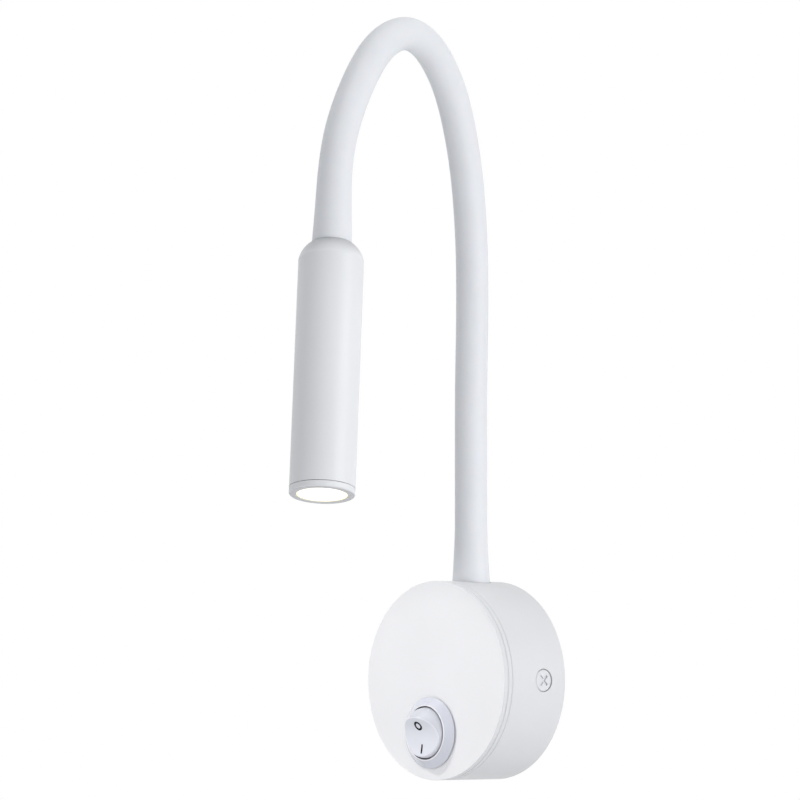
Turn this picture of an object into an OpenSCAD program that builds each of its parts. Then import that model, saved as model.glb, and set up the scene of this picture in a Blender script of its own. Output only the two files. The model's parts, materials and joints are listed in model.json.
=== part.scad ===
// Flexible wall light: a drum on the wall with a rocker switch, a sleeved gooseneck and an LED head.
// Millimetres. Origin: centre of the drum's back on the wall. +Z up, +Y into the wall, front is -Y.

/* [Drum] */
// Diameter of the drum
base_d = 64; // [60:0.5:80]
// Depth of the drum from the wall to its front face
base_depth = 27; // [26:0.5:36]
// Wall of the drum
base_wall = 2.4; // [2:0.1:3.2]
// Thickness of the front cover's disc
cover_t = 1.8; // [1.4:0.1:2.6]
// Height of the ring that plugs the cover into the drum
lip_h = 3; // [2:0.5:4]
// Wall of that ring
lip_t = 1.5; // [1:0.1:2]
// From the cover's seam back to the ornamental groove
groove_back = 1.8; // [1.2:0.1:4]
// Depth of the ornamental groove
groove_deep = 0.35; // [0.2:0.05:0.8]
// Diameter of the boss under the neck
boss_d = 16; // [15:0.5:18]
// Height of that boss, from its seat to the neck's spot face
boss_t = 4.2; // [3.8:0.1:6]

/* [Wall bracket] */
// Sheet of the bracket
plate_t = 1.5; // [1:0.1:2]
// Height of the bracket's plate
plate_h = 30; // [28:1:36]
// Height of each side tab
tab_h = 12; // [10:0.5:14]
// Centre of the side screws from the wall
side_screw_y = 9.5; // [8:0.5:12]
// Wall screws, from slot to slot
slot_pitch = 36; // [34:0.5:40]
// Width of a wall screw slot
slot_w = 4.5; // [3.5:0.1:5]
// Length of a wall screw slot
slot_l = 9; // [7:0.5:11]
// Cable inlet below the centre
inlet_down = 8; // [7:0.5:10]
// Bore of the cable grommet
inlet_d = 6.5; // [5:0.5:8]

/* [Switch] */
// Centre of the switch below the drum's axis
switch_down = 16.8; // [16:0.1:18]
// Centre of the switch beside the drum's axis, toward -X
switch_aside = 2; // [0:0.1:3]
// Diameter of the panel hole for the switch
switch_hole_d = 20.2; // [20:0.1:20.6]
// Diameter of the switch's bezel on the panel
bezel_d = 23; // [22.5:0.1:24]
// Diameter of the bezel's front rim
rim_d = 18.1; // [17.9:0.1:18.6]
// Opening in the bezel
opening_d = 17.2; // [16.8:0.1:17.4]
// Height of the bezel in front of the panel
bezel_h = 2.8; // [2.5:0.1:3.4]
// Shadow gap under the bezel's edge
bezel_foot = 0.5; // [0.2:0.05:0.6]
// Depth of the switch barrel behind the panel
barrel_depth = 14.2; // [14:0.1:15]
// Rocker pivot behind the bezel's rim
pivot_back = 1.6; // [1.4:0.1:2]
// Tilt of the rocker to each side
rocker_tilt = 15; // [12:0.5:16]
// Radius of the hollow in the rocker's face
dish_r = 11; // [10:0.5:18]
// Hollow's floor in front of the pivot
dish_up = 3.2; // [2.8:0.1:3.6]

/* [Neck] */
// Neck axis from the wall
neck_from_wall = 11; // [10.5:0.1:12]
// Diameter of the gooseneck coil
coil_d = 8.2; // [7.6:0.1:8.6]
// Bore of the gooseneck coil
coil_bore = 5; // [4.4:0.1:5.4]
// Wall of the silicone sleeve
sleeve_wall = 0.95; // [0.8:0.05:1.4]
// Wall of the sleeve at its flared ends
flare_wall = 1.15; // [1:0.05:1.5]
// Length of each flare
flare_l = 16; // [14:0.5:16]
// Wall of the ferrules' barrels
barrel_wall = 0.75; // [0.6:0.05:1]
// Length of the ferrules' barrels
barrel_l = 9; // [7:0.5:10]
// Diameter of the ferrules' threaded stems
stem_d = 8; // [7:0.1:8]
// Straight foot of the neck
foot_l = 50; // [40:1:70]
// Length of each bent stretch
arc_l = 26; // [24:0.5:30]
// Straight tip of the neck at the head
tip_l = 17.6; // [16:0.1:24]
// Bend of each stretch in degrees, from the foot to the tip
neck_bends = [-3, 4.5, 11, 18, 33, 39, 28, 13, 23.5]; // [-5:0.5:45]
// Turn of the arch from straight out of the wall, toward +X
arch_turn = 22.5; // [-40:0.5:40]
// Roll of the last two bends, which brings the head aside
tip_roll = 6.5; // [-20:0.5:20]
// Largest bend of one neck joint
joint_max = 45; // [30:1:45]

/* [Head] */
// Diameter of the head
head_d = 20; // [19.6:0.1:24]
// Length of the head, from the sleeve's end to the bezel's face
head_l = 79.5; // [77:0.5:110]
// Wall of the head's tube
head_wall = 1.4; // [1.2:0.1:1.8]
// Height of the head's domed shoulder
shoulder_h = 5.5; // [4.5:0.1:7]
// Radius of the shoulder's curve
shoulder_arc = 8.7; // [6:0.1:14]
// Thickness of the head's closed end
head_top = 4.5; // [3.5:0.1:6]
// Height of the front bezel's outer ring
ring_h = 1.9; // [1.6:0.1:4]
// Seam between the head and its bezel
ring_seam = 0.2; // [0.1:0.05:0.5]
// Opening of the front bezel
lens_open_d = 15.8; // [15:0.1:16]
// Thickness of the bezel's front lip
ring_lip = 1; // [0.8:0.1:1.4]
// Thickness of the lens's flange
lens_t = 2.4; // [1.6:0.1:3]
// Length of the bezel's threaded skirt
skirt_l = 6; // [4:0.5:8]
// Height of the reflector
reflector_h = 9.5; // [8:0.5:12]
// Length of the heat sink
sink_l = 11; // [9:0.5:16]
// Thickness of the LED board
board_t = 1.6; // [1:0.1:2]

/* [Inside] */
// Width of the LED driver
driver_w = 34; // [30:0.5:34]
// Height of the LED driver
driver_h = 16.5; // [14:0.5:16.5]
// Depth of the LED driver
driver_t = 15.5; // [12:0.5:15.5]
// Tape that holds the driver on the cover
tape_t = 1; // [0.6:0.1:1.5]
// Diameter of the LED cable
cable_d = 3.6; // [3:0.1:3.8]
// Diameter of the wires in the drum
wire_d = 1.6; // [1.2:0.1:2]

/* [Clearances] */
// Gap round pieces that screw or press together
fit_gap = 0.05; // [0.03:0.01:0.1]
// Gap round pieces that slide together
slide_gap = 0.1; // [0.05:0.01:0.15]
// Gap round the bracket's tabs and the heads in their seats
run_gap = 0.25; // [0.2:0.01:0.3]
// Gap round the rocker in the bezel's opening
rocker_gap = 0.45; // [0.3:0.05:0.5]
// Gap from the drum's wall to the terminal block
inside_gap = 0.6; // [0.4:0.1:1]

/* [Hidden] */
$fn = 96;
eps = 0.01;

// Drum
base_r = base_d / 2;
base_in = base_r - base_wall;
seam_y = base_depth - cover_t;
lug_r = base_in - 4.9;
lug_turn = 40;
lug_t = 3;
post_h = lip_h + 2;
lug_front = seam_y - post_h;
m3_r = 1.25;
m4_r = 2;

// Bracket and side screws
tab_x = sqrt(pow(base_in, 2) - pow(tab_h / 2, 2)) - run_gap;
tab_deep = side_screw_y + 5;
seat_x = base_in + base_wall / 2;
side_head_r = 3.5;
side_head_h = 1.1;

// Terminal block, beside the switch on the bracket
block_w = 13;
block_h = 9;
block_t = 9.5;
block_z = -11;
block_x = block_w / 2 - sqrt(pow(base_in - inside_gap, 2) - pow(block_z - block_h / 2, 2));
pole_gap = 6.4;
tube_r = 2.2;
pole_y = plate_t + 5;

// Driver on the cover
driver_front = seam_y - tape_t;
driver_back = driver_front - driver_t;
driver_below_lug = 3.4;
driver_mid = lug_r * sin(lug_turn) - driver_below_lug - driver_h / 2;
cable_in_y = driver_back + cable_d / 2 + 0.5;

// Switch, in its own frame: z = 0 is the panel's face, y is up
barrel_r = switch_hole_d / 2 - 0.15;
pivot_z = bezel_h - pivot_back;
rocker_r = sqrt(pow(opening_d / 2 - rocker_gap, 2) + pow(pivot_back, 2));
cavity_r = rocker_r + 0.2;
floor_t = 1.2;
floor_z = floor_t - barrel_depth;
trunnion_r = 1.1;
skirt_down = 3.2;
post_down = 6.2;
plunger_r = 1.45;
plunger_top = 3.9;
plunger_tip = 9.6;
blade_t = 0.6;
blade_rise = 15;
blade_tilt = rocker_tilt * 8 / 15;
blade_reach = 6.2;
blade_roll_r = 0.6;
blade_z = pivot_z - plunger_tip - 0.25;
blade_axis_z = blade_z - 0.75;
tab_w = 4.8;
tab_t = 0.8;
tab_out = 6.8;
load_up = 5.8;

// Neck
neck_count = len(neck_bends);
sleeve_bore_r = coil_d / 2 + 2 * slide_gap;
sleeve_r = sleeve_bore_r + sleeve_wall;
barrel_bore_r = coil_d / 2 + fit_gap;
barrel_out_r = barrel_bore_r + barrel_wall;
flare_bore_r = barrel_out_r + slide_gap;
flare_r = flare_bore_r + flare_wall;
spot_r = flare_r + run_gap;
neck_z = sqrt(pow(base_r, 2) - pow(spot_r, 2)) - 0.15;
boss_z = neck_z - boss_t;
stem_hole_r = stem_d / 2 + slide_gap;
cable_bore_r = cable_d / 2 + 2 * slide_gap;
coil_seat = 1.5;
coil_trim = coil_d / 2 * tan(joint_max / 2) + 0.3;
washer_t = 1;
nut_af = 13;
nut_h = 5;
stem_spare = 1;
base_stem_l = boss_t + washer_t + nut_h + stem_spare;
head_nut_h = 4;
head_stem_l = head_top + head_nut_h + stem_spare;

// Head, in its own frame: z = 0 is the sleeve's end, z points to the lens
head_r = head_d / 2;
dome_top = [flare_r + slide_gap, 0];
dome_chord = [head_r, shoulder_h] - dome_top;
dome_half = norm(dome_chord) / 2;
dome_side = [-dome_chord[1], dome_chord[0]] / (2 * dome_half);
dome_middle = dome_top + dome_chord / 2 + sqrt(pow(shoulder_arc, 2) - pow(dome_half, 2)) * dome_side;
bore_r = head_r - head_wall;
shell_l = head_l - ring_h - ring_seam;
skirt_r = head_r - 0.8;
skirt_in_r = skirt_r - slide_gap - 0.7;
lens_r = skirt_in_r - slide_gap;
lens_front = head_l - ring_lip;
gasket_t = 1;
gasket_z = lens_front - lens_t - gasket_t;
rim_t = 0.8;
emitter_r = 4;
emitter_h = 1.1;
board_r = bore_r - 0.6;
board_z = gasket_z - reflector_h - emitter_h - board_t;
sink_z = board_z - sink_l;
sink_bore_x = 5;
board_screw_x = 6.3;

// Matrices of the neck's stretches
function shift(v) = [[1, 0, 0, v.x], [0, 1, 0, v.y], [0, 0, 1, v.z], [0, 0, 0, 1]];
function turn_x(a) = [[1, 0, 0, 0], [0, cos(a), -sin(a), 0], [0, sin(a), cos(a), 0], [0, 0, 0, 1]];
function turn_z(a) = [[cos(a), -sin(a), 0, 0], [sin(a), cos(a), 0, 0], [0, 0, 1, 0], [0, 0, 0, 1]];
function bend_r(l, a) = l * 180 / (PI * a);
function along(l, a) =
  a == 0 ? shift([0, 0, l])
         : shift([0, -bend_r(l, a), 0]) * turn_x(a) * shift([0, bend_r(l, a), 0]);
function stretch_l(i) = i == 0 ? foot_l : i > neck_count ? tip_l : arc_l;
function stretch_bend(i) = i == 0 || i > neck_count ? 0 : neck_bends[i - 1];
function stretch_roll(i) = i == neck_count - 1 ? tip_roll : 0;
function neck_frame(i) =
  i == 0 ? shift([0, -neck_from_wall, neck_z]) * turn_z(arch_turn)
         : neck_frame(i - 1) * along(stretch_l(i - 1), stretch_bend(i - 1)) * turn_z(stretch_roll(i));
head_frame = neck_frame(neck_count + 2);

// Shared shapes

// Frame of the drum: z runs out of the wall, y is up
module out_of_wall() {
  rotate([90, 0, 0]) children();
}

// Frame of the switch on the cover
module on_panel() {
  out_of_wall() translate([-switch_aside, -switch_down, base_depth]) children();
}

// Frame of the rocker's pivot, tilted to ON
module on_pivot() {
  on_panel() translate([0, 0, pivot_z]) rotate([rocker_tilt, 0, 0]) children();
}

module tube(r_out, r_in, h) {
  linear_extrude(h) difference() {
    circle(r_out);
    circle(r_in);
  }
}

module rounded_rect(w, h, r) {
  square([w - 2 * r, h], center = true);
  square([w, h - 2 * r], center = true);
  for (x = [-1, 1], y = [-1, 1])
    translate([x * (w / 2 - r), y * (h / 2 - r)]) circle(r);
}

module slot(w, l) {
  square([l - w, w], center = true);
  for (x = [-1, 1])
    translate([x * (l - w) / 2, 0]) circle(w / 2);
}

module hex_nut(h) {
  linear_extrude(h) difference() {
    circle(nut_af / sqrt(3), $fn = 6);
    circle(stem_d / 2 + fit_gap);
  }
}

// Screw along +z, its head's seat at z = 0, with a cross recess
module cross_screw(head_r, head_h, shank_r, shank_l) {
  edge = head_h * 0.25;
  difference() {
    union() {
      translate([0, 0, -shank_l]) cylinder(r = shank_r, h = shank_l + eps);
      cylinder(r = head_r, h = head_h - edge);
      translate([0, 0, head_h - edge]) cylinder(r1 = head_r, r2 = head_r - 1.4 * edge, h = edge);
    }
    for (a = [0, 90])
      rotate([0, 0, a]) translate([0, 0, head_h]) cube([head_r * 1.2, head_r * 0.24, head_h], center = true);
  }
}

// Points of one ring of a swept tube
function ring(m, r, sides) = [
  for (j = [0 : sides - 1])
    let (p = m * [r * cos(360 * j / sides), r * sin(360 * j / sides), 0, 1]) [p.x, p.y, p.z]
];

// Tube swept along frames, with a radius and a bore for each; no bores make it solid
module sweep(frames, radii, bores, sides) {
  n = len(frames);
  hollow = len(bores) > 0;
  inner = n * sides;
  outer_points = [for (k = [0 : n - 1]) each ring(frames[k], radii[k], sides)];
  inner_points = hollow ? [for (k = [0 : n - 1]) each ring(frames[k], bores[k], sides)] : [];
  walls = [
    for (k = [0 : n - 2], j = [0 : sides - 1])
      let (a = k * sides + j, b = k * sides + (j + 1) % sides) each concat(
        [[a, a + sides, b + sides], [a, b + sides, b]],
        hollow ? [[inner + a, inner + b + sides, inner + a + sides],
                  [inner + a, inner + b, inner + b + sides]] : []
      )
  ];
  last = (n - 1) * sides;
  rims = [
    for (j = [0 : sides - 1])
      let (b = (j + 1) % sides) each hollow
        ? [[j, b, inner + b], [j, inner + b, inner + j],
           [last + j, inner + last + b, last + b], [last + j, inner + last + j, inner + last + b]]
        : []
  ];
  caps = hollow ? [] : [[for (j = [0 : sides - 1]) j], [for (j = [sides - 1 : -1 : 0]) last + j]];
  polyhedron(concat(outer_points, inner_points), concat(walls, rims, caps));
}

// Frame at a point of a wire, its ring square to the bisector of the wire's two directions
function unit(v) = v / norm(v);
function wire_way(points, i) =
  let (last = len(points) - 1)
  unit((i > 0 ? unit(points[i] - points[i - 1]) : [0, 0, 0])
     + (i < last ? unit(points[i + 1] - points[i]) : [0, 0, 0]));
function wire_frame(p, w) =
  let (u = unit(cross([0.3, 0.4, 0.8], w)), v = cross(w, u))
  [[u.x, v.x, w.x, p.x], [u.y, v.y, w.y, p.y], [u.z, v.z, w.z, p.z], [0, 0, 0, 1]];

// Wire through points chosen by hand
module wire(points, d) {
  sweep([for (i = [0 : len(points) - 1]) wire_frame(points[i], wire_way(points, i))],
        [for (p = points) d / 2], [], 8);
}

// Frames along neck stretch i, between two distances along it, about one each 5 degrees
function neck_at(i, d) = neck_frame(i) * along(d, stretch_bend(i) * d / stretch_l(i));
function neck_frames(i, from, to) =
  let (steps = max(1, ceil(abs(stretch_bend(i)) / 5)))
  [for (k = [0 : steps - 1]) neck_at(i, from + (to - from) * k / steps)];

// Coil over the given frames
module coil(frames) {
  color("#9aa0a8") sweep(frames, [for (f = frames) coil_d / 2], [for (f = frames) coil_bore / 2], 16);
}

// Drum and its cover

module base_housing() {
  groove_y = seam_y - groove_back;
  color("#e4e5e8") difference() {
    union() {
      out_of_wall() rotate_extrude() polygon([
        [base_in, 0], [base_r, 0], [base_r, groove_y - groove_deep], [base_r - groove_deep, groove_y],
        [base_r, groove_y + groove_deep], [base_r, seam_y - groove_deep],
        [base_r - groove_deep, seam_y], [base_in, seam_y]
      ]);
      intersection() {
        translate([0, -neck_from_wall, boss_z]) cylinder(d = boss_d, h = base_r);
        out_of_wall() cylinder(r = base_r - base_wall / 2, h = seam_y);
      }
      out_of_wall() intersection() {
        for (a = [lug_turn, 180 - lug_turn])
          rotate([0, 0, a]) translate([lug_r, 0, lug_front - lug_t]) {
            cylinder(r = 3.5, h = lug_t);
            translate([0, -3.5, 0]) cube([base_wall + 4, 7, lug_t]);
          }
        cylinder(r = base_r - base_wall / 2, h = seam_y);
      }
    }
    translate([0, -neck_from_wall, boss_z - 1]) cylinder(r = stem_hole_r, h = boss_t + 2);
    translate([0, -neck_from_wall, neck_z]) cylinder(r = spot_r, h = base_r);
    for (x = [-1, 1]) {
      translate([0, -side_screw_y, 0]) rotate([0, x * 90, 0]) cylinder(r = m4_r + 0.2, h = base_d);
      translate([x * seat_x, -side_screw_y, 0]) rotate([0, x * 90, 0])
        cylinder(r = side_head_r + run_gap, h = base_wall);
    }
    out_of_wall() for (a = [lug_turn, 180 - lug_turn])
      rotate([0, 0, a]) translate([lug_r, 0, 0]) cylinder(r = m3_r + 0.45, h = seam_y);
  }
}

module front_cover() {
  edge = cover_t / 15;
  lip_r = base_in - slide_gap;
  color("#efeff2") out_of_wall() difference() {
    union() {
      rotate_extrude() polygon([
        [0, seam_y], [lip_r - lip_t, seam_y], [lip_r - lip_t, seam_y - lip_h], [lip_r, seam_y - lip_h],
        [lip_r, seam_y], [base_r - groove_deep, seam_y], [base_r, seam_y + groove_deep],
        [base_r, base_depth - edge], [base_r - edge, base_depth], [0, base_depth]
      ]);
      for (a = [lug_turn, 180 - lug_turn])
        rotate([0, 0, a]) translate([lug_r, 0, lug_front]) cylinder(r = 3, h = post_h + cover_t / 2);
    }
    translate([-switch_aside, -switch_down, seam_y - 1]) cylinder(d = switch_hole_d, h = cover_t + 2);
    for (a = [lug_turn, 180 - lug_turn])
      rotate([0, 0, a]) translate([lug_r, 0, lug_front - 1])
        cylinder(r = m3_r + fit_gap, h = post_h + 0.8);
  }
}

module cover_screws() {
  color("#b9bdc4") out_of_wall() for (a = [lug_turn, 180 - lug_turn])
    rotate([0, 0, a]) translate([lug_r, 0, lug_front - lug_t]) rotate([180, 0, 0])
      cross_screw(2.75, 2, m3_r, lug_t + post_h - 0.5);
}

// Wall bracket and what it carries

module wall_bracket() {
  color("#c4c8cc") out_of_wall() difference() {
    union() {
      linear_extrude(plate_t) intersection() {
        circle(base_in - 2.6);
        square([base_d, plate_h], center = true);
      }
      linear_extrude(plate_t) square([2 * tab_x, tab_h], center = true);
      for (x = [-1, 1])
        translate([x * (tab_x - plate_t / 2) - plate_t / 2, 0, 0]) rotate([90, 0, 90])
          linear_extrude(plate_t) {
            translate([-tab_h / 2, 0]) square([tab_h, tab_deep - 2]);
            translate([0, tab_deep - 2]) rounded_rect(tab_h, 4, 1.9);
          }
    }
    for (x = [-1, 1]) {
      translate([x * slot_pitch / 2, 0, -1]) linear_extrude(plate_t + 2) slot(slot_w, slot_l);
      translate([0, 0, side_screw_y]) rotate([0, x * 90, 0]) cylinder(r = m4_r + fit_gap, h = base_d);
    }
    translate([0, -inlet_down, -1]) cylinder(d = inlet_d + 3, h = plate_t + 2);
    translate([-block_x, block_z, -1]) cylinder(r = m4_r + fit_gap, h = plate_t + 2);
  }
}

module side_screws() {
  color("#e6e7ea") for (x = [-1, 1])
    translate([x * seat_x, -side_screw_y, 0]) rotate([0, x * 90, 0]) rotate([0, 0, 45])
      cross_screw(side_head_r, side_head_h, m4_r, seat_x - tab_x + plate_t + 2);
}

module cable_grommet() {
  color("#2c2d30") out_of_wall() translate([0, -inlet_down, 0]) rotate_extrude() polygon([
    [inlet_d / 2, 0], [inlet_d / 2 + 1.5 - fit_gap, 0], [inlet_d / 2 + 1.5 - fit_gap, plate_t],
    [inlet_d / 2 + 2.8, plate_t], [inlet_d / 2 + 2.8, plate_t + 0.7], [inlet_d / 2 + 2.1, plate_t + 1.4],
    [inlet_d / 2, plate_t + 1.4]
  ]);
}

module terminal_block() {
  color("#f0ead8") out_of_wall() translate([block_x, block_z, plate_t]) difference() {
    linear_extrude(block_t) rounded_rect(block_w, block_h, 1);
    for (x = [-0.5, 0.5]) {
      translate([x * pole_gap, block_h, pole_y - plate_t]) rotate([90, 0, 0])
        cylinder(r = tube_r + fit_gap, h = 2 * block_h);
      for (y = [-0.25, 0.25])
        translate([x * pole_gap, y * block_h, pole_y - plate_t]) cylinder(r = 1.6, h = block_t);
    }
    translate([0, 0, block_t]) cube([1, block_h + 2, 3], center = true);
  }
}

module terminal_tubes() {
  color("#c8a24a") out_of_wall() translate([block_x, block_z, pole_y]) for (x = [-0.5, 0.5])
    difference() {
      translate([x * pole_gap, block_h / 2 - 0.5, 0]) rotate([90, 0, 0]) tube(tube_r, 1.4, block_h - 1);
      for (y = [-0.25, 0.25])
        translate([x * pole_gap, y * block_h, 0]) cylinder(r = 1.2 + fit_gap, h = tube_r + 1);
    }
}

module terminal_screws() {
  color("#b9bdc4") out_of_wall() translate([block_x, block_z, pole_y])
    for (x = [-0.5, 0.5], y = [-0.25, 0.25])
      translate([x * pole_gap, y * block_h, 0.9]) difference() {
        cylinder(r = 1.2, h = 3);
        translate([0, 0, 3]) cube([0.5, 3, 1], center = true);
      }
}

module earth_screw() {
  color("#c8a24a") out_of_wall() translate([-block_x, block_z, plate_t])
    cross_screw(3.6, 2.2, m4_r, plate_t);
}

module led_driver() {
  color("#f4f4f2") out_of_wall() translate([0, driver_mid, driver_back]) difference() {
    linear_extrude(driver_t) rounded_rect(driver_w, driver_h, 1.5);
    for (x = [-1, 1])
      translate([x * driver_w / 2, 0, driver_t - 2]) cube([1.2, driver_h + 1, 1], center = true);
  }
}

module driver_tape() {
  color("#3a3b3e") out_of_wall() translate([0, driver_mid, driver_front])
    linear_extrude(tape_t) square([driver_w - 6, driver_h - 5], center = true);
}

module live_wire() {
  pole_x = block_x + pole_gap / 2;
  foot = block_z - block_h / 2 + 0.4;
  color("#8a4b2a") out_of_wall() wire([
    [pole_x, foot, pole_y], [pole_x, -18, pole_y], [-12, -19, 7], [-8, -switch_down, 9],
    [-switch_aside - tab_w / 2, -switch_down, 9]
  ], wire_d);
}

module switched_wire() {
  load_z = load_up - switch_down;
  color("#8a4b2a") out_of_wall() wire([
    [tab_w / 2 - switch_aside, load_z, 9], [7, load_z, 9], [10, -8, 12], [10, driver_mid - driver_h / 2, 12]
  ], wire_d);
}

module neutral_wire() {
  pole_x = block_x - pole_gap / 2;
  top = block_z + block_h / 2 - 0.4;
  color("#3b62a8") out_of_wall() wire([
    [pole_x, top, pole_y], [pole_x, -3, pole_y], [-21, 1, 11], [-20, 2, 13], [-driver_w / 2, 2, 13]
  ], wire_d);
}

// Neck

module ferrule(stem_l) {
  rotate_extrude() polygon([
    [cable_bore_r, -stem_l], [stem_d / 2 - 0.5, -stem_l], [stem_d / 2, 0.5 - stem_l], [stem_d / 2, 0],
    [barrel_out_r, 0], [barrel_out_r, barrel_l - 0.3], [barrel_out_r - 0.3, barrel_l],
    [barrel_bore_r, barrel_l], [barrel_bore_r, coil_seat], [cable_bore_r, coil_seat]
  ]);
}

module base_ferrule() {
  color("#c9ccd1") multmatrix(neck_frame(0)) ferrule(base_stem_l);
}

module neck_washer() {
  color("#b9bdc4") translate([0, -neck_from_wall, boss_z - washer_t])
    tube(boss_d / 2 - 0.8, stem_hole_r, washer_t);
}

module neck_nut() {
  color("#b9bdc4") translate([0, -neck_from_wall, boss_z - washer_t - nut_h]) hex_nut(nut_h);
}

// One group of the coil: two stretches between neighbouring joints
module coil_group(first) {
  coil(concat(
    neck_frames(first, coil_trim, arc_l), neck_frames(first + 1, 0, arc_l - coil_trim),
    [neck_at(first + 1, arc_l - coil_trim)]
  ));
}

module neck_coil_1() {
  from = coil_seat + fit_gap;
  color("#9aa0a8") multmatrix(neck_at(0, from))
    tube(coil_d / 2, coil_bore / 2, foot_l - coil_trim - from);
}
module neck_coil_2() { coil_group(1); }
module neck_coil_3() { coil_group(3); }
module neck_coil_4() { coil_group(5); }
module neck_coil_5() { coil_group(7); }
module neck_coil_6() {
  coil(concat(
    neck_frames(neck_count, coil_trim, arc_l), [head_frame * shift([0, 0, -tip_l])],
    [head_frame * shift([0, 0, -coil_seat - fit_gap])]
  ));
}

// Sleeve at distance d from one of its ends: it flares over the ferrule
function sleeve_out(d) = sleeve_r + (flare_r - sleeve_r) * pow(max(0, 1 - d / flare_l), 1.4);
function sleeve_in(d) = d < barrel_l + 1 ? flare_bore_r : sleeve_bore_r;

module silicone_sleeve() {
  stops = [
    for (k = [0 : 4]) k / 4 * (barrel_l + 0.3),
    for (k = [0 : 3]) barrel_l + 1.5 + k / 3 * (flare_l - barrel_l - 1.5)
  ];
  arcs = [for (i = [1 : neck_count]) each neck_frames(i, 0, arc_l)];
  tip = [for (k = [len(stops) - 1 : -1 : 0]) stops[k]];
  color("#dfe2e7") sweep(
    concat([for (d = stops) neck_at(0, d)], arcs, [for (d = tip) head_frame * shift([0, 0, -d - fit_gap])]),
    concat([for (d = stops) sleeve_out(d)], [for (f = arcs) sleeve_r], [for (d = tip) sleeve_out(d)]),
    concat([for (d = stops) sleeve_in(d)], [for (f = arcs) sleeve_bore_r], [for (d = tip) sleeve_in(d)]),
    24
  );
}

module led_cable() {
  frames = concat(
    [shift([0, -cable_in_y, driver_mid + driver_h / 2]) * turn_z(arch_turn),
     shift([0, -neck_from_wall, neck_z - base_stem_l]) * turn_z(arch_turn)],
    [for (i = [0 : neck_count + 1]) each neck_frames(i, 0, stretch_l(i))],
    [head_frame, head_frame * shift([0, 0, head_stem_l]),
     head_frame * shift([sink_bore_x, 0, sink_z - 4]), head_frame * shift([sink_bore_x, 0, board_z])]
  );
  color("#e8e8e6") sweep(frames, [for (f = frames) cable_d / 2], [], 12);
}

// Head

module head_shell() {
  color("#dcdee2") multmatrix(head_frame) difference() {
    rotate_extrude() difference() {
      union() {
        translate([0, shoulder_h]) square([head_r, shell_l - shoulder_h]);
        intersection() {
          translate(dome_middle) circle(shoulder_arc);
          square([head_r, shoulder_h + eps]);
        }
      }
      translate([-1, head_top]) square([bore_r + 1, head_l]);
      translate([-1, -1]) square([stem_hole_r + 1, head_l]);
      translate([-1, shell_l - skirt_l]) square([skirt_r + 1, head_l]);
    }
  }
}

module head_ferrule() {
  color("#c9ccd1") multmatrix(head_frame) rotate([180, 0, 0]) ferrule(head_stem_l);
}

module head_nut() {
  color("#b9bdc4") multmatrix(head_frame) translate([0, 0, head_top]) hex_nut(head_nut_h);
}

module heat_sink() {
  fins = 3;
  color("#b4b8be") multmatrix(head_frame) difference() {
    translate([0, 0, sink_z]) cylinder(r = bore_r - fit_gap, h = sink_l);
    translate([sink_bore_x, 0, sink_z - 1]) cylinder(r = cable_bore_r, h = sink_l + 2);
    for (i = [1 : fins])
      translate([0, 0, sink_z + i * sink_l / (fins + 2)]) tube(bore_r + 1, bore_r - 1.2, 0.9);
    for (y = [-1, 1])
      translate([0, y * board_screw_x, sink_z + sink_l - 5]) cylinder(r = 0.9 + fit_gap, h = 6);
  }
}

module led_board() {
  color("#f2f3f0") multmatrix(head_frame) translate([0, 0, board_z]) linear_extrude(board_t) difference() {
    circle(board_r);
    for (y = [-1, 1]) translate([0, y * board_screw_x]) circle(1.1);
    translate([-board_r, 0]) circle(1.2);
  }
}

module led_emitter() {
  color("#f3d36b") multmatrix(head_frame) translate([0, 0, board_z + board_t]) {
    cylinder(r = emitter_r, h = emitter_h);
    intersection() {
      translate([0, 0, emitter_h]) sphere(r = 2.6);
      cylinder(r = emitter_r, h = emitter_h + 3);
    }
  }
}

module board_screws() {
  color("#b9bdc4") multmatrix(head_frame) for (y = [-1, 1])
    translate([0, y * board_screw_x, board_z + board_t]) cross_screw(1.45, 0.9, 0.9, board_t + 4);
}

module reflector() {
  foot_r = 3;
  steps = 6;
  wall = 0.8;
  mouth_r = lens_r - 1.2;
  cup = [for (k = [0 : steps]) [foot_r + (mouth_r - foot_r) * sqrt(k / steps), k / steps * reflector_h]];
  color("#d9dce0") multmatrix(head_frame) translate([0, 0, gasket_z - reflector_h])
    rotate_extrude() polygon([
      each cup, [lens_r, reflector_h], [lens_r, reflector_h - rim_t],
      [mouth_r + wall - 0.2, reflector_h - rim_t],
      for (k = [steps - 1 : -1 : 0]) cup[k] + [wall, 0]
    ]);
}

module lens_gasket() {
  color("#4a4c50") multmatrix(head_frame) translate([0, 0, gasket_z]) tube(lens_r, lens_r - 1, gasket_t);
}

module diffuser_lens() {
  color("#fffdf4") multmatrix(head_frame) translate([0, 0, lens_front - lens_t]) {
    cylinder(r = lens_r, h = lens_t);
    cylinder(r = lens_open_d / 2 - slide_gap, h = lens_t + ring_lip - 0.2);
  }
}

module front_bezel() {
  edge = 0.3;
  color("#dfe0e2") multmatrix(head_frame) rotate_extrude() polygon([
    [skirt_in_r, shell_l - skirt_l + ring_seam], [skirt_r - slide_gap, shell_l - skirt_l + ring_seam],
    [skirt_r - slide_gap, shell_l + ring_seam], [head_r, shell_l + ring_seam], [head_r, head_l - edge],
    [head_r - edge, head_l], [lens_open_d / 2, head_l], [lens_open_d / 2, lens_front],
    [skirt_in_r, lens_front]
  ]);
}

// Switch

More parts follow.
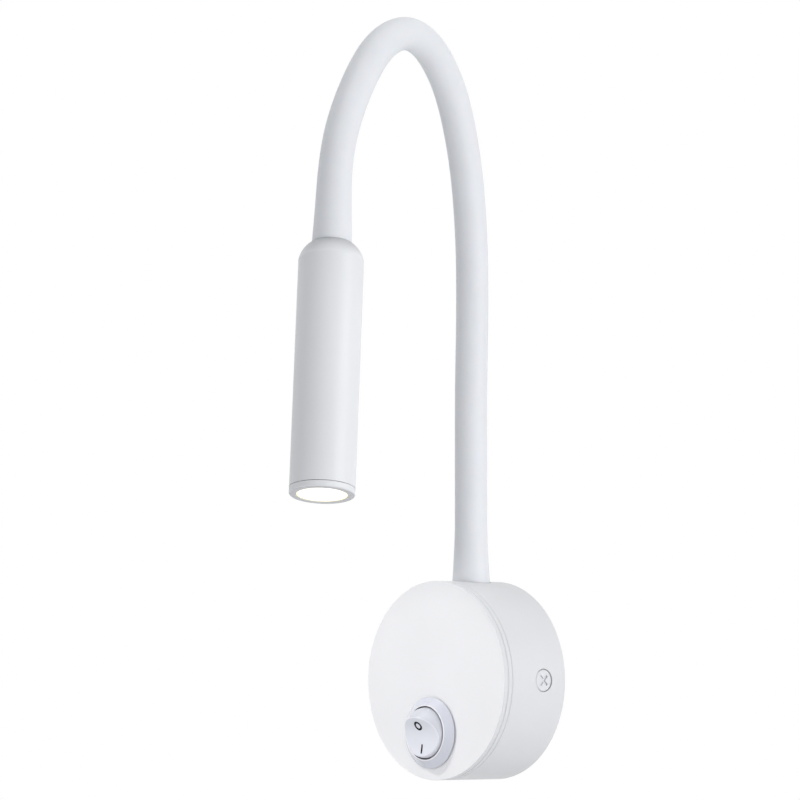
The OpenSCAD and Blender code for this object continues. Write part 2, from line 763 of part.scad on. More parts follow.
module switch_body() {
  wing = 30;
  color("#e9ebf0") on_panel() difference() {
    union() {
      rotate_extrude() polygon([
        [0, floor_z], [barrel_r - 1.5, floor_z], [barrel_r - 1.5, pivot_z - 4], [cavity_r, pivot_z - 2.5],
        [cavity_r, pivot_z + 0.6], [opening_d / 2, bezel_h], [rim_d / 2 - 0.1, bezel_h],
        [rim_d / 2, bezel_h - 0.1], [bezel_d / 2, bezel_foot + 0.2], [bezel_d / 2, bezel_foot],
        [bezel_d / 2 - 2 * bezel_foot, bezel_foot], [bezel_d / 2 - 2 * bezel_foot, 0], [barrel_r, 0],
        [barrel_r, -barrel_depth], [0, -barrel_depth]
      ]);
      for (a = [0, 180])
        rotate([0, 0, a - wing / 2]) rotate_extrude(angle = wing) polygon([
          [barrel_r - 0.5, -cover_t - slide_gap], [barrel_r + 0.7, -cover_t - slide_gap],
          [barrel_r + 0.1, -cover_t - 4], [barrel_r - 0.5, -cover_t - 4]
        ]);
    }
    translate([-rocker_r - 0.85, 0, pivot_z]) rotate([0, 90, 0])
      cylinder(r = trunnion_r + fit_gap, h = 2 * rocker_r + 1.7);
    for (y = [0, load_up])
      translate([0, y, -barrel_depth]) cube([tab_w + 0.1, tab_t + 0.1, 3 * floor_t], center = true);
  }
}

module switch_rocker() {
  color("#eceef3") on_pivot() difference() {
    union() {
      difference() {
        sphere(r = rocker_r);
        translate([-rocker_r, -rocker_r, -2 * rocker_r - skirt_down]) cube(2 * rocker_r);
        translate([-2 * rocker_r, 0, dish_up + dish_r]) rotate([0, 90, 0])
          cylinder(r = dish_r, h = 4 * rocker_r);
      }
      translate([0, 0, -post_down]) cylinder(r = plunger_r + 1.1, h = post_down);
      translate([-rocker_r - 0.75, 0, 0]) rotate([0, 90, 0])
        cylinder(r = trunnion_r, h = 2 * rocker_r + 1.5);
    }
    translate([0, 0, -post_down - 1]) cylinder(r = plunger_r + slide_gap, h = post_down);
  }
}

module rocker_spring() {
  color("#b9bdc4") on_pivot() translate([0, 0, -plunger_top])
    tube(plunger_r, plunger_r - 0.4, plunger_top - 1);
}

module rocker_plunger() {
  tip_r = 1.2;
  color("#3a3b3e") on_pivot() {
    translate([0, 0, -plunger_tip + tip_r]) cylinder(r = tip_r, h = plunger_tip - plunger_top - tip_r);
    translate([0, 0, -post_down - 0.8]) cylinder(r = plunger_r, h = post_down + 0.8 - plunger_top);
    translate([0, 0, -plunger_tip + tip_r]) sphere(r = tip_r);
  }
}

// See-saw contact: a shallow V on a rolled edge, its upper arm down on the fixed contact
module contact_blade() {
  up = blade_z - blade_axis_z;
  run = [cos(blade_rise), sin(blade_rise)];
  drop = [sin(blade_rise), -cos(blade_rise)];
  apex = [0, up];
  tip = apex + blade_reach * run;
  root = apex + 0.9 * run + blade_t * drop;
  arm = [root, tip + blade_t * drop, tip];
  roll = [for (a = [-160 : 35 : -20]) blade_roll_r * [cos(a), sin(a)]];
  mirrored = [for (p = [tip, tip + blade_t * drop, root]) [-p[0], p[1]]];
  color("#c98d4b") on_panel() translate([0, 0, blade_axis_z]) rotate([-blade_tilt, 0, 0]) {
    translate([-tab_w / 2, 0, 0]) rotate([90, 0, 90]) linear_extrude(height = tab_w)
      polygon(concat([apex], mirrored, roll, arm));
    translate([0, 0, up]) rotate([blade_rise, 0, 0])
      translate([0, blade_reach - 1.4, -blade_t - 0.5]) cylinder(r = 1.1, h = 0.6);
  }
}

module switch_terminals() {
  contact_z = blade_axis_z - 0.15;
  color("#c8a24a") on_panel() {
    translate([-tab_w / 2, -tab_t / 2, -barrel_depth - tab_out])
      cube([tab_w, tab_t, barrel_depth + tab_out + blade_axis_z - blade_roll_r - fit_gap]);
    translate([-tab_w / 2, load_up - tab_t / 2, -barrel_depth - tab_out])
      cube([tab_w, tab_t, barrel_depth + tab_out + contact_z - 0.6]);
    translate([0, load_up, contact_z - 0.6 - eps]) cylinder(r = 1.2, h = 0.6);
  }
}

base_housing();
front_cover();
cover_screws();
wall_bracket();
side_screws();
cable_grommet();
terminal_block();
terminal_tubes();
terminal_screws();
earth_screw();
led_driver();
driver_tape();
live_wire();
switched_wire();
neutral_wire();
base_ferrule();
neck_washer();
neck_nut();
switch_body();
switch_rocker();
rocker_spring();
rocker_plunger();
contact_blade();
switch_terminals();
neck_coil_1();
neck_coil_2();
neck_coil_3();
neck_coil_4();
neck_coil_5();
neck_coil_6();
silicone_sleeve();
led_cable();
head_shell();
head_ferrule();
head_nut();
heat_sink();
led_board();
led_emitter();
board_screws();
reflector();
lens_gasket();
diffuser_lens();
front_bezel();
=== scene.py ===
"""Looks for the flexible wall light: materials, soft neck, switch marks, light and camera.

Frame: metres, wall at y = 0, the lamp reaches out to -y, z is up, origin at the middle of the drum's back.
"""

import functools
import json
import math

import bmesh
import bpy
from mathutils import Matrix, Vector

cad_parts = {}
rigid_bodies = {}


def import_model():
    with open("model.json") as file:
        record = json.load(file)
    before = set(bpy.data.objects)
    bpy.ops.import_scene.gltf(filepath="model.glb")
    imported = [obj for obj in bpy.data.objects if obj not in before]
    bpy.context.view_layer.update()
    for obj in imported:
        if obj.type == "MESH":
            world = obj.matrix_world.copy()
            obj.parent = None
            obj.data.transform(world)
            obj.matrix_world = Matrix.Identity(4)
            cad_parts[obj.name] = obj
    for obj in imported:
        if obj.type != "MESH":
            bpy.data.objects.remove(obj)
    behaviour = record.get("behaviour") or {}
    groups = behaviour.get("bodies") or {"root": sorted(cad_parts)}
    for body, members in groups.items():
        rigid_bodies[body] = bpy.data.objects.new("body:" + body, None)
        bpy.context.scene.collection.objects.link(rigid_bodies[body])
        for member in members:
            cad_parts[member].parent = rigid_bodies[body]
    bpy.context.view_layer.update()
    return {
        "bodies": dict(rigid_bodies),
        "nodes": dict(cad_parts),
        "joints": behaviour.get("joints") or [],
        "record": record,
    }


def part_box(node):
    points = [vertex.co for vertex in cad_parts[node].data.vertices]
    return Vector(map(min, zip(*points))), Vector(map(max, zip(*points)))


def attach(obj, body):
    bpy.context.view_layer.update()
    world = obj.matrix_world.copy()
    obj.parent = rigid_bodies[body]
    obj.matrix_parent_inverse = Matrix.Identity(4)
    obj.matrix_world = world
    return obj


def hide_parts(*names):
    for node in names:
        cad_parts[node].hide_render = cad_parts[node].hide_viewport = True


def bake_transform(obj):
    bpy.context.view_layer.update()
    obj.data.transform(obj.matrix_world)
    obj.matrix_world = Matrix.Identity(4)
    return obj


MM = 0.001
UP = Vector((0, 0, 1))
DRUM_MIDDLE = Vector((0.0, -0.0135, 0.0))

# Camera
CAM_AZIMUTH = math.radians(46.3)
CAM_DISTANCE = 1.6
CAM_LENS = 222.4
CAM_SENSOR = 36.0
CAM_CLIP_START = 0.05
CAM_CLIP_END = 50
CAM_AIM_LEFT = 0.0212
CAM_AIM_UP = 0.0908

# Light
AMBIENT = 0.47
AMBIENT_TINT = (0.97, 0.98, 1.0)
LAMPS_AIM_UP = 0.09
SPOTS_AIM = DRUM_MIDDLE + Vector((0, -0.02, -0.007))
SPOT_CONE = math.radians(4.0)
SPOT_BLEND = 0.4
SPOT_SIZE = 0.006

# Soft lamps: name, way to the camera's right, toward the camera and up, size, power
LAMPS = (
    ("key", 1.2, 0.7, 0.25, 0.9, 7.9),
    ("low", 0.7, 0.95, -0.48, 0.25, 3.2),
    ("top", 0.0, 0.0, 1.4, 1.2, 6.3),
    ("fill", -0.9, 0.9, -0.3, 0.5, 1.5),
)

# Spots on the drum: name, place from the point that they light, power
SPOTS = (
    ("disc", (-0.5, -0.7, 0.95), 19.5),
    ("side", (-0.5, -1.15, 0.25), 9.5),
)

# Floor
FLOOR_Y = -0.1
FLOOR_Z = -0.45
FLOOR_REACH = 1.2
FLOOR_CUTS = 8
FLOOR_FADE_START = FLOOR_REACH * 0.3
FLOOR_FADE_END = FLOOR_REACH * 0.95
FLOOR_LOW = (0.84, 0.84, 0.85)
FLOOR_HIGH = (0.88, 0.88, 0.88)
FLOOR_CLOUDS = (12, 3)

# Share of a noise's range over which a finish goes from low to high
NOISE_LOW = 0.3
NOISE_HIGH = 0.7

# Drum
DRUM_WHITE = (0.7, 0.705, 0.722)
FRONT_Y = -26.95 * MM

# Neck, as in the CAD source
NECK_FOOT = 50 * MM
NECK_ARC = 26 * MM
NECK_BENDS = (-3, 4.5, 11, 18, 33, 39, 28, 13, 23.5)
NECK_TIP = 17.6 * MM
NECK_TURN = 22.5
TIP_ROLL = 6.5
TIP_ROLL_ARC = 7
NECK_FROM_WALL = 11 * MM
NECK_BODIES = ("base", "neck_1", "neck_2", "neck_3", "neck_4", "head")
NECK_COILS = ("neck_coil_1", "neck_coil_2", "neck_coil_3", "neck_coil_4", "neck_coil_5", "neck_coil_6")
BEND_REACH = 18 * MM

# Sleeve
SLEEVE_R = 5.25 * MM
SLEEVE_BORE_R = 4.35 * MM
SLEEVE_STEP = 1 * MM
SLEEVE_SIDES = 56
FLARE_R = 6.15 * MM
FLARE_POWER = 1.6
BASE_FLARE = 20 * MM
HEAD_FLARE = 27 * MM
LIP_R = 0.35 * MM
LIP_STEPS = (0.08, 0.3, 0.6, 1.0)

# Steel coil in the sleeve
COIL_R = 4.1 * MM
COIL_BORE_R = 2.55 * MM
COIL_PITCH = 2.0 * MM
COIL_GROOVE = 0.5 * MM
COIL_INSET = 0.5 * MM
COIL_STEP = 0.5 * MM
COIL_SIDES = 24

# Cable in the neck, the drum and the head
CABLE_R = 1.8 * MM
CABLE_STEP = 2 * MM
CABLE_SIDES = 16
CABLE_INSET = 0.5 * MM
DRUM_CABLE_STEPS = 12
HEAD_CABLE_STEPS = 16
STEM_BELOW_SLEEVE = 11.2 * MM
HEAD_STEM = 9.5 * MM
SINK_BORE_X = 5 * MM
SINK_Z = 51.9 * MM
SINK_APPROACH = 4 * MM
BOARD_Z = 62.9 * MM

# Head
HEAD_WHITE = (0.755, 0.767, 0.79)
# Painted shade on the lens ring's end face, beyond RING_END along the head
RING_END_SHADE = (0.58, 0.59, 0.61)
RING_END = 79.4 * MM
# Painted shade on the head's shoulder, fading out over this reach from the sleeve
SLEEVE_SHADE_GREY = (0.4, 0.405, 0.42)
SLEEVE_SHADE_REACH = 5 * MM

# Lens, with its glow as share of the way from the rim to the middle, and colour
LENS_FRONT = 79.3 * MM
LENS_GLOW_R = 8.5 * MM
LENS_GLOW = ((0.06, (0.2, 0.16, 0.06)), (0.12, (0.75, 0.68, 0.42)), (0.2, (1.0, 0.98, 0.94)))
LENS_LOW = (0.66, 0.63, 0.52)
LENS_HIGH = (0.7, 0.67, 0.56)

# LED
LED_GLOW = (1.0, 0.86, 0.5, 1)
LED_LOW = (0.8, 0.56, 0.1)
LED_HIGH = (0.9, 0.66, 0.16)

# Switch
SWITCH_PIVOT = Vector((-2 * MM, -28.2 * MM, -16.8 * MM))
ROCKER_TILT = 15.0
ROCKER_SIDES = 128
OPENING_R = 8.6 * MM
ROCKER_GAP = 0.45 * MM
PIVOT_BACK = 1.6 * MM
DISH_R = 11 * MM
DISH_UP = 3.2 * MM
FACE_STEPS = 14
FACE_HALVINGS = 40
ROCKER_EDGE = 0.55 * MM
EDGE_STEPS = 6
FLANK_STEPS = 14
SKIRT_DOWN = 3.2 * MM
POST_R = 2.55 * MM
POST_BORE_R = 1.55 * MM
POST_DOWN = 6.2 * MM
POST_ROOF = 1.1 * MM
TRUNNION_R = 1.1 * MM
TRUNNION_OUT = 0.75 * MM
TRUNNION_ROOT = 1 * MM
TRUNNION_CHAMFER = 0.15 * MM
TRUNNION_SIDES = 24

# Painted shade on the switch: colours by depth or by distance from its pivot
# Painted shade on the bezel's cone, behind its paler front rim
BEZEL_SHADE_GREY = (0.68, 0.695, 0.77)
BEZEL_Y = -29.7 * MM
# Painted shade on the rocker's flank, where it sits deep in the bezel
FLANK_SHADE_GREY = (0.66, 0.67, 0.73)
FLANK_DEPTH = 0.03 * MM
# Painted shade on the bezel's bore round the rocker, so the gap reads dark
GAP_SHADE_GREY = (0.1, 0.1, 0.15)
GAP_SHADE_REACH = 8.72 * MM

# Printed marks
MARK_LIFT = 0.05 * MM
MARK_SINK = 0.1 * MM
MARK_CORE = 0.01 * MM
OFF_MARK_UP = 3.3 * MM
OFF_MARK_R = 1.58 * MM
OFF_STROKE = 0.68 * MM
OFF_SIDES = 48
ON_MARK_DOWN = 4.2 * MM
ON_MARK_LENGTH = 2.9 * MM
ON_STROKE = 0.57 * MM
ON_END_STEPS = 16

# Edges sharper than these stay sharp
PIPE_CREASE = math.radians(50)
SWITCH_CREASE = math.radians(35)


def set_inputs(node, **values):
    for name, value in values.items():
        node.inputs[name.replace("_", " ")].default_value = value


def new_material(name, **values):
    mat = bpy.data.materials.new(name)
    mat.use_nodes = True
    shader = mat.node_tree.nodes["Principled BSDF"]
    set_inputs(shader, **values)
    return mat, mat.node_tree, shader


def add_noise(tree, scale, detail, stretch=None):
    coords = tree.nodes.new("ShaderNodeTexCoord")
    noise = tree.nodes.new("ShaderNodeTexNoise")
    set_inputs(noise, Scale=scale, Detail=detail)
    source = coords.outputs["Object"]
    if stretch:
        mapping = tree.nodes.new("ShaderNodeMapping")
        set_inputs(mapping, Scale=stretch)
        tree.links.new(source, mapping.inputs["Vector"])
        source = mapping.outputs["Vector"]
    tree.links.new(source, noise.inputs["Vector"])
    return noise.outputs["Fac"]


def colour_ramp(tree, factor, stops):
    """A colour for each factor, between stops that are given as position and colour."""
    ramp = tree.nodes.new("ShaderNodeValToRGB")
    elements = ramp.color_ramp.elements
    for position, colour in stops[1:-1]:
        elements.new(position)
    for element, (position, colour) in zip(elements, stops):
        element.position = position
        element.color = (*colour, 1)
    tree.links.new(factor, ramp.inputs["Fac"])
    return ramp.outputs["Color"]


def vary_colour(tree, shader, factor, low, high):
    colour = colour_ramp(tree, factor, ((NOISE_LOW, low), (NOISE_HIGH, high)))
    tree.links.new(colour, shader.inputs["Base Color"])


def vary_roughness(tree, shader, factor, low, high):
    spread = tree.nodes.new("ShaderNodeMapRange")
    set_inputs(spread, From_Min=NOISE_LOW, From_Max=NOISE_HIGH, To_Min=low, To_Max=high)
    tree.links.new(factor, spread.inputs["Value"])
    tree.links.new(spread.outputs["Result"], shader.inputs["Roughness"])


def add_bump(tree, shader, factor, depth, strength):
    bump = tree.nodes.new("ShaderNodeBump")
    set_inputs(bump, Strength=strength, Distance=depth)
    tree.links.new(factor, bump.inputs["Height"])
    tree.links.new(bump.outputs["Normal"], shader.inputs["Normal"])


def around(colour, spread):
    low = tuple(c * (1 - spread) for c in colour)
    high = tuple(min(1.0, c * (1 + spread)) for c in colour)
    return low, high


def texture(tree, shader, colour, spread, mottle, roughness, wear, grain, depth, strength):
    """Varies colour, roughness and height, each by a noise that is given as scale, detail and stretch."""
    vary_colour(tree, shader, add_noise(tree, *mottle), *around(colour, spread))
    vary_roughness(tree, shader, add_noise(tree, *wear), *roughness)
    add_bump(tree, shader, add_noise(tree, *grain), depth, strength)


def coated(name, colour, roughness):
    """Satin powder coat: fine orange peel, faint cloudiness."""
    mat, tree, shader = new_material(name, Coat_Weight=0.12, Coat_Roughness=0.22, IOR=1.45)
    texture(
        tree, shader, colour, spread=0.012, mottle=(35, 2),
        roughness=(roughness - 0.04, roughness + 0.04), wear=(120, 2),
        grain=(1800, 4), depth=0.03 * MM, strength=0.35,
    )
    return mat


def moulded(name, colour, roughness, grain=900, depth=0.02 * MM, coat=0.0, ior=1.48):
    """Moulded plastic: slight mottling and a fine skin."""
    mat, tree, shader = new_material(name, Coat_Weight=coat, Coat_Roughness=0.08, IOR=ior)
    texture(
        tree, shader, colour, spread=0.02, mottle=(60, 2),
        roughness=(roughness - 0.03, roughness + 0.05), wear=(200, 2),
        grain=(grain, 3), depth=depth, strength=0.4,
    )
    return mat


def rubbery(name, colour, roughness, soft=0.0):
    """Silicone or rubber: satin skin with faint dust, some light passing through."""
    mat, tree, shader = new_material(
        name, Subsurface_Weight=soft, Subsurface_Scale=1.5 * MM, IOR=1.41, Sheen_Weight=0.05
    )
    texture(
        tree, shader, colour, spread=0.012, mottle=(90, 3),
        roughness=(roughness - 0.05, roughness + 0.06), wear=(400, 3),
        grain=(2600, 2), depth=0.012 * MM, strength=0.35,
    )
    return mat


def metal(name, colour, roughness, stretch=(1, 1, 1)):
    """Plated, turned or drawn metal: streaks along the grain."""
    mat, tree, shader = new_material(name, Metallic=1.0)
    streaks = (700, 3, stretch)
    texture(
        tree, shader, colour, spread=0.07, mottle=(80, 3),
        roughness=(roughness - 0.08, roughness + 0.1), wear=streaks,
        grain=streaks, depth=0.01 * MM, strength=0.3,
    )
    return mat


def phosphor(name):
    """Yellow phosphor of the LED, lit."""
    mat, tree, shader = new_material(name, Roughness=0.6, Emission_Strength=1.0, Emission_Color=LED_GLOW)
    vary_colour(tree, shader, add_noise(tree, 900, 3), LED_LOW, LED_HIGH)
    return mat


def glowing_lens(name, head):
    """Opal diffuser, lit from behind, with a warm rim where less light gets through."""
    mat, tree, shader = new_material(name, IOR=1.49, Emission_Strength=1.0)
    vary_colour(tree, shader, add_noise(tree, 150, 2), LENS_LOW, LENS_HIGH)
    vary_roughness(tree, shader, add_noise(tree, 500, 2), 0.22, 0.3)
    place = head @ Matrix.Translation((0, 0, LENS_FRONT))
    gradient = tree.nodes.new("ShaderNodeTexGradient")
    gradient.gradient_type = "SPHERICAL"
    tree.links.new(measured_from(tree, place, LENS_GLOW_R), gradient.inputs["Vector"])
    glow = colour_ramp(tree, gradient.outputs["Fac"], LENS_GLOW)
    tree.links.new(glow, shader.inputs["Emission Color"])
    return mat


def compute(tree, operation, first, second):
    """A math node on a socket and another socket or number."""
    node = tree.nodes.new("ShaderNodeMath")
    node.operation = operation
    tree.links.new(first, node.inputs[0])
    if isinstance(second, float):
        node.inputs[1].default_value = second
    else:
        tree.links.new(second, node.inputs[1])
    return node.outputs[0]


def length_of(tree, vector):
    reach = tree.nodes.new("ShaderNodeVectorMath")
    reach.operation = "LENGTH"
    tree.links.new(vector, reach.inputs[0])
    return reach.outputs["Value"]


def axis(tree, vector, name):
    split = tree.nodes.new("ShaderNodeSeparateXYZ")
    tree.links.new(vector, split.inputs["Vector"])
    return split.outputs[name]


def measured_from(tree, place, scale=1.0):
    """Object coordinates, in the frame of a place on the part."""
    coords = tree.nodes.new("ShaderNodeTexCoord")
    mapping = tree.nodes.new("ShaderNodeMapping")
    mapping.vector_type = "TEXTURE"
    set_inputs(mapping, Location=place.translation, Rotation=place.to_euler(), Scale=[scale] * 3)
    tree.links.new(coords.outputs["Object"], mapping.inputs["Vector"])
    return mapping.outputs["Vector"]


def recolour(tree, colour, factor):
    """Lays a second colour over the first by a factor."""
    socket = tree.nodes["Principled BSDF"].inputs["Base Color"]
    first = socket.links[0].from_socket
    mix = tree.nodes.new("ShaderNodeMixRGB")
    set_inputs(mix, Color2=(*colour, 1))
    tree.links.new(factor, mix.inputs["Fac"])
    tree.links.new(first, mix.inputs["Color1"])
    tree.links.new(mix.outputs["Color"], socket)


def beyond(mat, colour, place, name, limit):
    """Lays another colour on all that is beyond a limit along one axis of a place."""
    tree = mat.node_tree
    measure = axis(tree, measured_from(tree, place), name)
    recolour(tree, colour, compute(tree, "GREATER_THAN", measure, limit))


def behind(mat, colour, front_y):
    """Keeps a pale coat to the front face, and lays another colour on all that is behind it."""
    beyond(mat, colour, Matrix.Identity(4), "Y", front_y)


def zoned(mat, colour, operation, middle, radius):
    """Lays another colour on all whose distance from a point is greater, or less, than a radius."""
    tree = mat.node_tree
    distance = length_of(tree, measured_from(tree, Matrix.Translation(middle)))
    recolour(tree, colour, compute(tree, operation, distance, radius))


def shade_near_sleeve(mat, colour, place, length):
    """Greys a coat towards the end that meets the sleeve: painted shade standing for the sleeve's shadow on
    the shoulder.
    """
    tree = mat.node_tree
    fade = tree.nodes.new("ShaderNodeMapRange")
    set_inputs(fade, From_Min=0.0, From_Max=length, To_Min=1.0, To_Max=0.0)
    tree.links.new(axis(tree, measured_from(tree, place), "Z"), fade.inputs["Value"])
    recolour(tree, colour, fade.outputs["Result"])


SWITCH_SKIN = {"grain": 500, "depth": 0.006 * MM, "coat": 0.3}
REFLECTOR_SKIN = {"grain": 700, "depth": 0.004 * MM, "coat": 0.4}

# Finishes: kind, colour, roughness, and what differs from the kind's usual values
FINISHES = {
    # Paler than the drum coat; part of that paleness is painted light on the front face
    "cover_coat": (coated, (0.9, 0.9, 0.915), 0.34, {}),
    "drum_coat": (coated, DRUM_WHITE, 0.42, {}),
    "head_coat": (coated, HEAD_WHITE, 0.42, {}),
    "ring_coat": (coated, HEAD_WHITE, 0.42, {}),
    "white_screw": (coated, (0.7, 0.705, 0.735), 0.34, {}),
    "zinc_steel": (metal, (0.62, 0.64, 0.68), 0.34, {}),
    "coil_steel": (metal, (0.34, 0.35, 0.37), 0.4, {}),
    "brass": (metal, (0.78, 0.58, 0.26), 0.3, {}),
    "plain_aluminium": (metal, (0.7, 0.71, 0.73), 0.38, {"stretch": (1, 1, 9)}),
    "white_silicone": (rubbery, (0.755, 0.77, 0.8), 0.5, {"soft": 0.12}),
    "black_rubber": (rubbery, (0.03, 0.03, 0.033), 0.6, {}),
    "rocker_plastic": (moulded, (0.82, 0.83, 0.9), 0.22, SWITCH_SKIN),
    "bezel_plastic": (moulded, (0.9, 0.9, 0.94), 0.24, SWITCH_SKIN),
    "black_plastic": (moulded, (0.03, 0.03, 0.034), 0.42, {}),
    "cream_plastic": (moulded, (0.78, 0.7, 0.52), 0.4, {}),
    "driver_plastic": (moulded, (0.78, 0.78, 0.76), 0.45, {}),
    "brown_wire": (moulded, (0.14, 0.05, 0.02), 0.4, {}),
    "blue_wire": (moulded, (0.02, 0.07, 0.3), 0.4, {}),
    "white_cable": (moulded, (0.75, 0.75, 0.74), 0.42, {}),
    "reflector_plastic": (moulded, (0.9, 0.9, 0.9), 0.2, REFLECTOR_SKIN),
    "mark_ink": (moulded, (0.008, 0.008, 0.012), 0.6, {"ior": 1.15}),
}

# Which CAD nodes take which finish
CAD_FINISH = {
    "drum_coat": ("base_housing",),
    "head_coat": ("head_shell",),
    "ring_coat": ("front_bezel",),
    "cover_coat": ("front_cover",),
    "white_screw": ("side_screws",),
    "zinc_steel": (
        "cover_screws", "wall_bracket", "terminal_screws", "neck_washer", "neck_nut",
        "rocker_spring", "head_nut", "board_screws",
    ),
    "brass": (
        "terminal_tubes", "earth_screw", "contact_blade", "switch_terminals",
        "base_ferrule", "head_ferrule",
    ),
    "plain_aluminium": ("heat_sink", "led_board"),
    "black_rubber": ("cable_grommet", "driver_tape", "lens_gasket"),
    "bezel_plastic": ("switch_body",),
    "black_plastic": ("rocker_plunger",),
    "cream_plastic": ("terminal_block",),
    "driver_plastic": ("led_driver",),
    "brown_wire": ("live_wire", "switched_wire"),
    "blue_wire": ("neutral_wire",),
    "led_phosphor": ("led_emitter",),
    "reflector_plastic": ("reflector",),
    "lens_plastic": ("diffuser_lens",),
}


def make_materials():
    head = neck_place(neck_length())
    materials = {
        name: kind(name, colour, roughness, **extra)
        for name, (kind, colour, roughness, extra) in FINISHES.items()
    }
    materials["led_phosphor"] = phosphor("led_phosphor")
    materials["lens_plastic"] = glowing_lens("lens_plastic", head)
    # The cover's front face keeps a paler coat than its rim and the drum; part of that paleness is painted
    # light on the front face
    behind(materials["cover_coat"], DRUM_WHITE, FRONT_Y)
    # Painted shade on the head's shoulder next to the sleeve
    shade_near_sleeve(materials["head_coat"], SLEEVE_SHADE_GREY, head, SLEEVE_SHADE_REACH)
    # Painted shade on the end face of the lens ring
    beyond(materials["ring_coat"], RING_END_SHADE, head, "Z", RING_END)
    # Painted shade on the rocker's flank, outside the round less a small depth
    flank = rocker_radius() - FLANK_DEPTH
    zoned(materials["rocker_plastic"], FLANK_SHADE_GREY, "GREATER_THAN", SWITCH_PIVOT, flank)
    # Painted shade on the bezel behind its front rim
    behind(materials["bezel_plastic"], BEZEL_SHADE_GREY, BEZEL_Y)
    # Painted shade in the bezel's bore, round the rocker
    zoned(materials["bezel_plastic"], GAP_SHADE_GREY, "LESS_THAN", SWITCH_PIVOT, GAP_SHADE_REACH)
    return materials


def finish_cad(nodes, materials):
    for finish, names in CAD_FINISH.items():
        for name in names:
            data = nodes[name].data
            data.materials.clear()
            data.materials.append(materials[finish])


def add_mesh(name, mesh, material):
    data = bpy.data.meshes.new(name)
    mesh.to_mesh(data)
    mesh.free()
    data.materials.append(material)
    thing = bpy.data.objects.new(name, data)
    bpy.context.scene.collection.objects.link(thing)
    return thing


def new_piece(name, mesh, material):
    piece = add_mesh(name, mesh, material)
    return piece


def turns(count):
    return [2 * math.pi * i / count for i in range(count)]


def ring(mesh, place, radius, sides):
    points = [Vector((radius * math.cos(a), radius * math.sin(a), 0)) for a in turns(sides)]
    return [mesh.verts.new(place @ point) for point in points]


def skin(mesh, rings, closed):
    sides = len(rings[0])
    pairs = list(zip(rings, rings[1:]))
    if closed:
        pairs.append((rings[-1], rings[0]))
    for low, high in pairs:
        for i in range(sides):
            j = (i + 1) % sides
            mesh.faces.new((low[i], low[j], high[j], high[i]))


def capped_skin(mesh, rings):
    skin(mesh, rings, False)
    mesh.faces.new(rings[0])
    mesh.faces.new(rings[-1])


def fan(mesh, points, tip):
    for i, point in enumerate(points):
        mesh.faces.new((point, points[(i + 1) % len(points)], tip))


def smooth(mesh, crease):
    bmesh.ops.recalc_face_normals(mesh, faces=mesh.faces)
    for face in mesh.faces:
        face.smooth = True
    for edge in mesh.edges:
        if len(edge.link_faces) == 2 and edge.calc_face_angle(0) > crease:
            edge.smooth = False


def neck_stretches():
    """The neck's stretches in order: length, bend, and roll before it."""
    stretches = [(NECK_FOOT, 0.0, 0.0)]
    for i, bend in enumerate(NECK_BENDS):
        roll = TIP_ROLL if i == TIP_ROLL_ARC else 0.0
        stretches.append((NECK_ARC, math.radians(bend), math.radians(roll)))
    stretches.append((NECK_TIP, 0.0, 0.0))
    return stretches


def neck_length():
    return sum(length for length, bend, roll in neck_stretches())


def along(length, bend):
    """The step from the start of a stretch to a point on it, bending to local -y."""
    if abs(bend) < 1e-9:
        return Matrix.Translation((0, 0, length))
    radius = length / bend
    shift = (0, -radius * (1 - math.cos(bend)), radius * math.sin(bend))
    return Matrix.Translation(shift) @ Matrix.Rotation(bend, 4, "X")


@functools.lru_cache
def neck_foot():
    start = Vector((0, -NECK_FROM_WALL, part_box("silicone_sleeve")[0].z))
    return Matrix.Translation(start) @ Matrix.Rotation(math.radians(NECK_TURN), 4, "Z")


def neck_place(distance):
    """The place on the neck's middle line at a distance from its foot, with z along the neck."""
    place = neck_foot()
    stretches = neck_stretches()
    for i, (length, bend, roll) in enumerate(stretches):
        place = place @ Matrix.Rotation(roll, 4, "Z")
        last = i == len(stretches) - 1
        if distance <= length or last:
            return place @ along(distance, bend * distance / length)
        place = place @ along(length, bend)
        distance -= length


def sleeve_radius(distance):
    from_head = neck_length() - distance
    radius = SLEEVE_R
    for reach, gap in ((BASE_FLARE, distance), (HEAD_FLARE, from_head)):
        if gap < reach:
            radius += (FLARE_R - SLEEVE_R) * (1 - gap / reach) ** FLARE_POWER
        if gap < LIP_R:
            radius -= LIP_R - math.sqrt(LIP_R**2 - (LIP_R - gap) ** 2)
    return radius


def coil_radius(distance):
    turn = 2 * math.pi * distance / COIL_PITCH
    return COIL_R - COIL_GROOVE * (0.5 - 0.5 * math.cos(turn))


def cable_radius(distance):
    return CABLE_R


def pipe(name, places, radii, bore, sides, material):
    """A closed pipe through the places, with its outer radius at each and one bore, or none if 0."""
    mesh = bmesh.new()
    rings = [ring(mesh, place, radius, sides) for place, radius in zip(places, radii)]
    if bore:
        rings += [ring(mesh, place, bore, sides) for place in reversed(places)]
        skin(mesh, rings, True)
    else:
        capped_skin(mesh, rings)
    smooth(mesh, PIPE_CREASE)
    return new_piece(name, mesh, material)


def neck_pipe(name, stations, outer, bore, sides, material):
    places = [neck_place(s) for s in stations]
    return pipe(name, places, [outer(s) for s in stations], bore, sides, material)


def spaced(start, end, step, extra=()):
    """Distances from start to end, about a step apart, and any extra ones between."""
    count = max(1, round((end - start) / step))
    points = {round(start + (end - start) * i / count, 7) for i in range(count + 1)}
    points.update(round(p, 7) for p in extra if start < p < end)
    return sorted(points)


def bend_over(piece, middle):
    neck_place(middle - BEND_REACH).translation
    neck_place(middle + BEND_REACH).translation
    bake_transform(piece)


